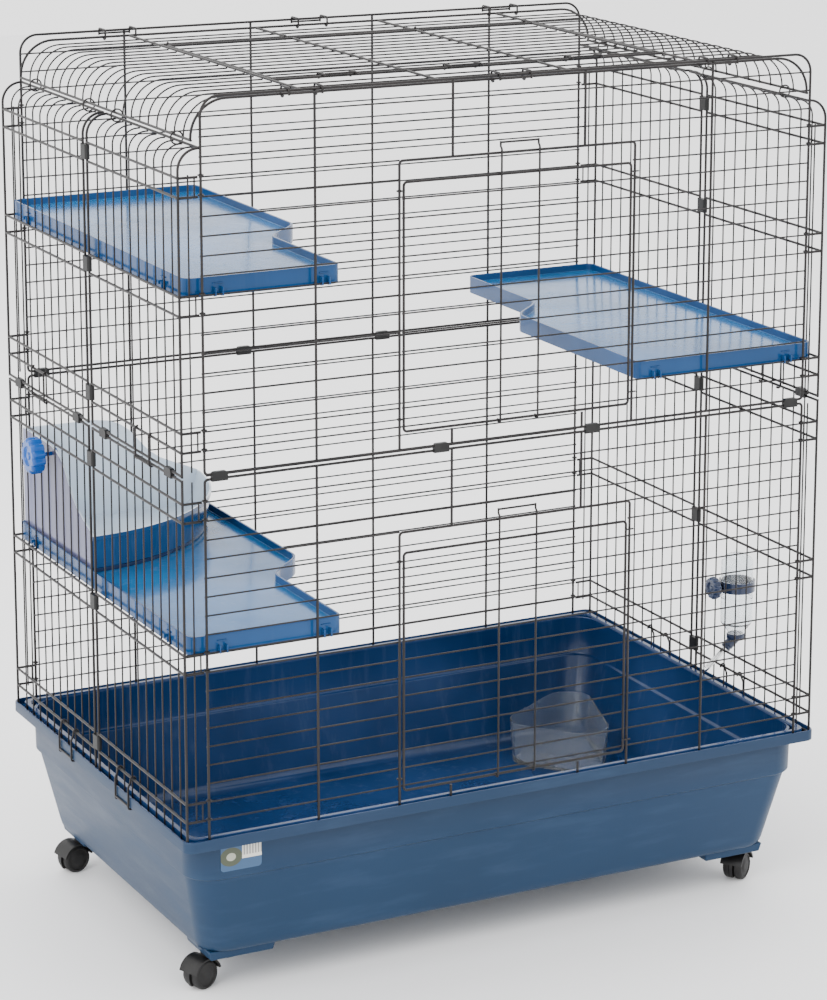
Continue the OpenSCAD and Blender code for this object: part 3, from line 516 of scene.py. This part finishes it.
def makeShelf(node, turnedRound):
    s = shelf
    low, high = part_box(node)
    bm = bmesh.new()
    xOut, xNarrow, xWide = -s["outer"], -s["outer"] + s["narrow"], -s["outer"] + s["wide"]
    corners = [(xOut, -s["side"], 0), (xNarrow, -s["side"], 0), (xWide, s["side"], 0), (xOut, s["side"], 0)]
    turns = [k / 16 for k in range(17)]
    step = [
        (
            xNarrow + (xWide - xNarrow) * (1 - math.cos(math.pi * t)) / 2,
            s["stepStart"] + (s["stepEnd"] - s["stepStart"]) * t,
            0,
        )
        for t in turns
    ]
    flatPlate(bm, corners[:2] + step + corners[2:])
    roundVerts(bm, corners, s["corner"], 8)
    bm.faces.ensure_lookup_table()
    bottom = bm.faces[0]
    top = startSolid(bm, bottom)
    bmesh.ops.translate(bm, vec=(0, 0, s["height"]), verts=top.verts[:])
    bottom = [f for f in bm.faces if f is not top and len(f.verts) > 4][0]
    # rim, then the sunk floor with a shallow moulded panel
    bmesh.ops.inset_region(bm, faces=[top], thickness=s["wall"], use_even_offset=True)
    top = bmesh.ops.extrude_discrete_faces(bm, faces=[top])["faces"][0]
    bmesh.ops.translate(bm, vec=(0, 0, -s["sink"]), verts=top.verts[:])
    bmesh.ops.inset_region(bm, faces=[top], thickness=0.007, depth=0.0006, use_even_offset=True)
    # the sunk floor panel and its border take the lighter floor copy, partly painted reflection
    ring = {f for e in top.edges for f in e.link_faces}
    for f in ring:
        f.material_index = 1
    # hollow underside
    bmesh.ops.inset_region(bm, faces=[bottom], thickness=s["wall"] * 0.8, use_even_offset=True)
    bottom = bmesh.ops.extrude_discrete_faces(bm, faces=[bottom])["faces"][0]
    bmesh.ops.translate(bm, vec=(0, 0, s["height"] - s["sink"] - 0.0028), verts=bottom.verts[:])
    # pairs of clip fins notched over the wire they straddle
    for x, y in ((xOut + 0.045, -1), (xNarrow - 0.025, -1), (xOut + 0.045, 1), (xWide - 0.025, 1)):
        for k in (-0.005, 0.005):
            block(bm, (x + k, y * (s["side"] + 0.0041), 0.0085), (0.002, 0.0082, 0.007))
            block(bm, (x + k, y * (s["side"] + 0.0017), 0.0035), (0.002, 0.0034, 0.007))
            block(bm, (x + k, y * (s["side"] + 0.0074), 0.0040), (0.002, 0.0016, 0.006))
        block(bm, (x, y * (s["side"] + 0.0009), 0.0165), (0.014, 0.0018, 0.0016))
    for y in (-0.2435, 0.2435):
        for k in (-0.005, 0.005):
            block(bm, (xOut - 0.0030, y + k, 0.0090), (0.0060, 0.002, 0.005))
            block(bm, (xOut - 0.0008, y + k, 0.0035), (0.0016, 0.002, 0.007))
        block(bm, (xOut - 0.0009, y, 0.0165), (0.0018, 0.014, 0.0016))
    turn = Matrix.Rotation(math.pi if turnedRound else 0, 4, "Z")
    bmesh.ops.transform(bm, matrix=Matrix.Translation((midX, 0, low[2])) @ turn, verts=bm.verts)
    addPiece(
        node.title().replace("_", ""),
        bm,
        "cage",
        [shelfRimMat, shelfFloorSheenMat],
        [node],
        0.0008,
        3,
    )


for node, around in (("shelf_top_left", False), ("shelf_middle_right", True), ("shelf_low_left", False)):
    makeShelf(node, around)
print("shelves made")

# Litter pan
pan = {
    "radius": 0.266,
    "foot": 0.258,
    "low": 0.054,
    "wall": 0.0025,
    "wing": [
        (0.0, 0.147), (0.106, 0.146), (0.128, 0.143), (0.146, 0.136), (0.160, 0.126), (0.174, 0.110),
        (0.190, 0.092), (0.208, 0.079), (0.230, 0.069), (0.250, 0.061), (0.2655, 0.054),
    ],
}


def makePan():
    low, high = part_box("litter_pan")
    radius, wall = pan["radius"], pan["wall"]
    # outline seen from above: along the side wall, along the back wall, then round the front
    wing = [(r / pan["wing"][-1][0] * radius, z) for r, z in pan["wing"]]
    outline = [(0, -r, z, wall, -r) for r, z in reversed(wing[1:])]
    outline.append((0, 0, wing[0][1], wall, -wall))
    outline += [(r, 0, z, r, -wall) for r, z in wing[1:]]
    for k in range(1, 40):
        a = math.pi / 2 * k / 40
        x, y = radius * math.cos(a), -radius * math.sin(a)
        outline.append((x, y, pan["low"], x * (1 - wall / radius), y * (1 - wall / radius)))
    bm = bmesh.new()

    def loop(reach, height, inner=False):
        k = reach / radius
        made = []
        for x, y, top, innerX, innerY in outline:
            z = top if height is None else height
            if inner:
                made.append(bm.verts.new((max(wall, innerX * k), min(-wall, innerY * k), z)))
            else:
                made.append(bm.verts.new((x * k, y * k, z)))
        return made

    def span(one, two, slot):
        for i in range(len(one)):
            j = (i + 1) % len(one)
            # only the outer face of the side wall along x=0 takes the paler copy, painted light
            litSideWall = slot == 0 and outline[i][0] == 0 and outline[j][0] == 0
            bm.faces.new((one[i], one[j], two[j], two[i])).material_index = 3 if litSideWall else slot

    foot, lip = pan["foot"], pan["low"] - 0.007
    loops = [
        (loop(foot - 0.001, 0), 2),
        (loop(foot, 0.0015), 2),
        (loop(foot, 0.0055), 2),
        (loop(foot + 0.0022, 0.0075), 0),
        (loop(radius - 0.0022, lip), 0),
        (loop(radius, lip + 0.001), 0),
        (loop(radius, None), 0),
        (loop(radius, None, True), 1),
        (loop(radius - 0.002, lip, True), 1),
        (loop(foot - 0.004, 0.010, True), 1),
        (loop(foot - 0.012, 0.0035, True), 1),
    ]
    for (one, _), (two, slot) in zip(loops, loops[1:]):
        span(one, two, slot)
    bm.faces.new(loops[0][0]).material_index = 2
    bm.faces.new(loops[-1][0]).material_index = 1
    bmesh.ops.transform(bm, matrix=Matrix.Translation((low[0], high[1], low[2])), verts=bm.verts)
    addPiece(
        "litterPan", bm, "cage", [panOutMat, panInMat, panFootMat, panLitWallMat], ["litter_pan"]
    )


makePan()


# Screw knobs
def makeKnob(name, node, body, flutes, material, outward, boss):
    low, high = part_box(node)
    centre = Vector([(a + b) / 2 for a, b in zip(low, high)])
    radius = (high[2] - low[2]) / 2
    thick = boss["thick"]
    face = low[0] if outward < 0 else high[0]
    start = face - outward * thick
    turn = Matrix.Translation((start, centre.y, centre.z)) @ Matrix.Rotation(outward * math.pi / 2, 4, "Y")
    bm = bmesh.new()
    turned(
        bm,
        [
            (0, 0), (radius * 0.86, 0), (radius * 0.97, 0.0015), (radius, 0.004), (radius, thick - 0.005),
            (radius * 0.95, thick - 0.0015), (radius * 0.86, thick), (radius * 0.55, thick),
            (radius * 0.5, thick - 0.0025), (radius * 0.22, thick - 0.0025), (radius * 0.18, thick - 0.0008),
            (0, thick - 0.0006),
        ],
        96,
        turn,
    )
    flute(
        bm,
        [v for v in bm.verts if (v.co - Vector((v.co.x, centre.y, centre.z))).length > radius * 0.8],
        flutes,
        0.13,
        centre,
    )
    turned(bm, [(0, -boss["stud"]), (0.0029, -boss["stud"]), (0.0029, 0.0005), (0, 0.0005)], 24, turn)
    if boss["flange"]:
        z = -boss["stud"] + 0.0005
        turned(bm, [(0, z), (0.0075, z), (0.008, z + 0.0006), (0.008, z + 0.0028), (0, z + 0.003)], 32, turn)
    addPiece(name, bm, body, [material], [node], 0.0005, 2)


panKnobLow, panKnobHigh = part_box("pan_knob")
makeKnob(
    "panKnob",
    "pan_knob",
    "pan_screw",
    12,
    knobMat,
    -1,
    {"thick": 0.020, "stud": panKnobHigh[0] - panKnobLow[0] - 0.020, "flange": True},
)
makeKnob(
    "bottleKnob",
    "bottle_knob",
    "bottle_screw",
    12,
    navyMat,
    -1,
    {"thick": 0.0115, "stud": 0.0002, "flange": False},
)
print("pan and knobs made")


# Drinking bottle
def makeBottle():
    low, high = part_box("bottle")
    centre = Vector(((low[0] + high[0]) / 2, (low[1] + high[1]) / 2, 0))
    r, z0, z1 = (high[0] - low[0]) / 2, low[2], high[2]
    at = Matrix.Translation(centre)
    dome = [
        (r * math.cos(a), z1 - 0.014 + 0.0138 * math.sin(a))
        for a in [math.radians(d) for d in range(0, 91, 10)]
    ]
    dome[-1] = (0, dome[-1][1])
    inner = [(max(0, x - 0.0014) if x else 0, z - 0.0014) for x, z in reversed(dome)]
    neck = 0.016
    profile = [
        (0.0116, z0), (0.013, z0), (0.0132, z0 + 0.003), (r * 0.9, z0 + neck - 0.002),
        (r, z0 + neck + 0.002), (r, z0 + 0.055), (r - 0.0008, z0 + 0.056), (r - 0.0008, z0 + 0.0575),
        (r, z0 + 0.0585),
    ]
    back = [
        (r - 0.0014, z0 + neck + 0.002),
        (r * 0.9 - 0.0014, z0 + neck - 0.001),
        (0.0117, z0 + 0.0035),
        (0.0116, z0),
    ]
    bm = bmesh.new()
    turned(bm, profile + dome + inner + back, 64, at)
    addPiece("bottleBody", bm, "cage", [bottleMat], ["bottle"])

    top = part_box("bottle_cap")[1][2]
    bm = bmesh.new()
    turned(
        bm,
        [
            (0, top - 0.0095), (0.0125, top - 0.0095), (0.0138, top - 0.008), (0.0138, top - 0.001),
            (0.0132, top), (0, top),
        ],
        72,
        at,
    )
    for v in bm.verts:  # grip ribs
        offset = Vector((v.co.x - centre.x, v.co.y - centre.y))
        if offset.length > 0.0136:
            angle = math.atan2(offset.y, offset.x)
            shrink = 1 - 0.035 * (round(angle / math.tau * 72) % 2)
            v.co.x, v.co.y = centre.x + offset.x * shrink, centre.y + offset.y * shrink
    tilt = math.radians(230)
    elbow = Matrix.Translation((centre.x - 0.003, centre.y, top - 0.009)) @ Matrix.Rotation(tilt, 4, "Y")
    turned(
        bm,
        [
            (0, -0.004), (0.0078, -0.002), (0.0079, 0.014), (0.0070, 0.0150), (0.0070, 0.0165),
            (0.0078, 0.0172), (0.0076, 0.0192), (0.0060, 0.0200), (0, 0.0200),
        ],
        40,
        elbow,
    )
    addPiece("bottleCap", bm, "cage", [navyMat], ["bottle_cap"], 0.0003, 2)

    bm = bmesh.new()
    turned(
        bm,
        [
            (0, 0.0201), (0.0039, 0.0201), (0.0039, 0.058), (0.0036, 0.0625), (0.0030, 0.0645),
            (0.0026, 0.0648), (0.0024, 0.0640), (0, 0.0640),
        ],
        32,
        elbow,
    )
    bmesh.ops.create_uvsphere(
        bm, u_segments=20, v_segments=12, radius=0.0021, matrix=elbow @ Matrix.Translation((0, 0, 0.0640))
    )
    addPiece("bottleSpout", bm, "cage", [steelMat], ["bottle_spout"])


makeBottle()

# Bowl
bowl = {
    "corners": [(0.304, 0.178, 0.040), (0.354, 0.118, 0.042), (0.396, 0.236, 0.038)],
    "draft": 0.007,
    "wall": 0.0026,
    "lip": 0.0016,
}


def makeBowl():
    low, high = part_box("bowl")
    height = high[2] - low[2]
    bm = bmesh.new()
    for x, y, r in bowl["corners"]:
        at = Matrix.Translation((midX + x, y, low[2] + height / 2))
        bmesh.ops.create_cone(
            bm,
            cap_ends=True,
            segments=48,
            radius1=r - bowl["draft"],
            radius2=r - bowl["lip"],
            depth=height,
            matrix=at,
        )
    hull = bmesh.ops.convex_hull(bm, input=bm.verts[:])
    spare = {g for g in hull["geom_interior"] + hull["geom_unused"] if isinstance(g, bmesh.types.BMVert)}
    bmesh.ops.delete(bm, geom=list(spare), context="VERTS")
    kept = set(g for g in hull["geom"] if isinstance(g, bmesh.types.BMFace))
    bmesh.ops.delete(bm, geom=[f for f in bm.faces if f not in kept], context="FACES_ONLY")
    bmesh.ops.dissolve_limit(bm, angle_limit=math.radians(1), verts=bm.verts, edges=bm.edges)
    top = max(bm.faces, key=lambda f: f.calc_center_median().z)
    bmesh.ops.inset_region(bm, faces=[top], thickness=bowl["wall"], use_even_offset=True)
    top = moveFace(bm, top, 0.0005, -0.003)
    top = moveFace(bm, top, bowl["draft"] * 0.8, -height + 0.012)
    top = moveFace(bm, top, 0.004, -0.005)
    addPiece("feedBowl", bm, "cage", [bowlMat], ["bowl"], 0.0012, 3)


makeBowl()
print("bottle and bowl made")


# Castor wheels
wheel = {"width": 0.012, "gap": 0.003, "hub": 0.0085, "dish": 0.0012}


def makeWheels(corner):
    node = "castor_wheels_" + corner
    low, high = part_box(node)
    centre = Vector([(a + b) / 2 for a, b in zip(low, high)])
    joint = next(j for j in frame["joints"] if j["name"] == "roll_" + corner)
    across = Vector(joint["axis"]).normalized()
    radius = (high[2] - low[2]) / 2
    w = wheel["width"]
    bm = bmesh.new()
    for side in (-1, 1):
        turn = Matrix.Translation(centre) @ (across * side).to_track_quat("Z", "Y").to_matrix().to_4x4()
        g = wheel["gap"]
        turned(
            bm,
            [
                (0, g),
                (radius - 0.0015, g),
                (radius, g + 0.0015),
                (radius, g + w - 0.004),
                (radius - 0.0012, g + w - 0.0018),
                (radius - 0.0035, g + w - 0.0005),
                (radius - 0.0045, g + w - 0.0005),
                (radius - 0.0052, g + w - wheel["dish"] - 0.0005),
                (wheel["hub"] + 0.002, g + w - wheel["dish"] - 0.0003),
                (wheel["hub"], g + w - 0.0002),
                (wheel["hub"] - 0.003, g + w),
                (0, g + w),
            ],
            64,
            turn,
        )
    turned(
        bm,
        [(0, -0.0035), (0.0025, -0.0035), (0.0025, 0.0035), (0, 0.0035)],
        24,
        Matrix.Translation(centre) @ across.to_track_quat("Z", "Y").to_matrix().to_4x4(),
    )
    addPiece("wheels" + corner.upper(), bm, "wheels_" + corner, [tyreMat], [node])


for corner in ("fl", "fr", "bl", "br"):
    makeWheels(corner)
print("wheels made")

# Finishes of the wire and the black fittings
plainNodes = {
    "castor_hood": castorMat,
    "fold_sleeves": blackMat,
    "tier_clips": blackMat,
    "bottle_bracket": navyMat,
}
for name, part in frame["nodes"].items():
    material = next((m for key, m in plainNodes.items() if name.startswith(key)), wireMat)
    for slot in part.material_slots:
        slot.material = material
print("finishes given")

# Floor, light and camera
studio = {
    "floor": rgb(0.93, 0.93, 0.935),
    "sky": 2.3,
    "lamps": [((-3.2, -1.6, 2.4), 2.2, 90), ((2.6, -3.0, 3.0), 2.4, 10), ((0.2, 1.5, 4.2), 3.0, 60)],
    "aim": (0, 0, 0.6),
}
camera = {
    "place": (-2.0269, -4.0302, 1.8115),
    "yaw": 0.494,
    "pitch": 0.2165,
    "roll": 0.0063,
    "lens": 118.94,
    "shift": (-0.0865, -0.18),
}


def makeStudio():
    bm = bmesh.new()
    bmesh.ops.create_grid(bm, x_segments=2, y_segments=2, size=9)
    mesh = bpy.data.meshes.new("floor")
    bm.to_mesh(mesh)
    bm.free()
    floor = bpy.data.objects.new("floor", mesh)
    f = Finish("pale floor", Roughness=0.6)
    f.set(Base_Color=f.mix(f.noise(2, 2) * 0.2, studio["floor"], rgb(0.9, 0.9, 0.905)))
    mesh.materials.append(f.material)
    bpy.context.collection.objects.link(floor)
    world = bpy.data.worlds.new("studio")
    bpy.context.scene.world = world
    world.use_nodes = True
    back = world.node_tree.nodes["Background"]
    back.inputs["Color"].default_value, back.inputs["Strength"].default_value = rgb(1, 1, 1), studio["sky"]
    for i, (place, size, power) in enumerate(studio["lamps"]):
        lamp = bpy.data.lights.new("softbox%d" % i, "AREA")
        lamp.size, lamp.energy = size, power
        holder = bpy.data.objects.new("softbox%d" % i, lamp)
        holder.location = place
        holder.rotation_euler = (Vector(studio["aim"]) - Vector(place)).to_track_quat("-Z", "Y").to_euler()
        bpy.context.collection.objects.link(holder)


def makeCamera():
    yaw, pitch, roll = camera["yaw"], camera["pitch"], camera["roll"]
    ahead = Vector((math.sin(yaw) * math.cos(pitch), math.cos(yaw) * math.cos(pitch), -math.sin(pitch)))
    level = Vector((math.cos(yaw), -math.sin(yaw), 0))
    upright = level.cross(ahead)
    right = math.cos(roll) * level + math.sin(roll) * upright
    up = -math.sin(roll) * level + math.cos(roll) * upright
    data = bpy.data.cameras.new("view")
    data.lens = camera["lens"]
    data.shift_x, data.shift_y = camera["shift"]
    data.clip_end = 60
    holder = bpy.data.objects.new("view", data)
    turn = Matrix((right, up, -ahead)).transposed().to_4x4()
    holder.matrix_world = Matrix.Translation(Vector(camera["place"]) + Vector((midX, 0, 0))) @ turn
    bpy.context.collection.objects.link(holder)
    bpy.context.scene.camera = holder


makeStudio()
makeCamera()
print("studio made")
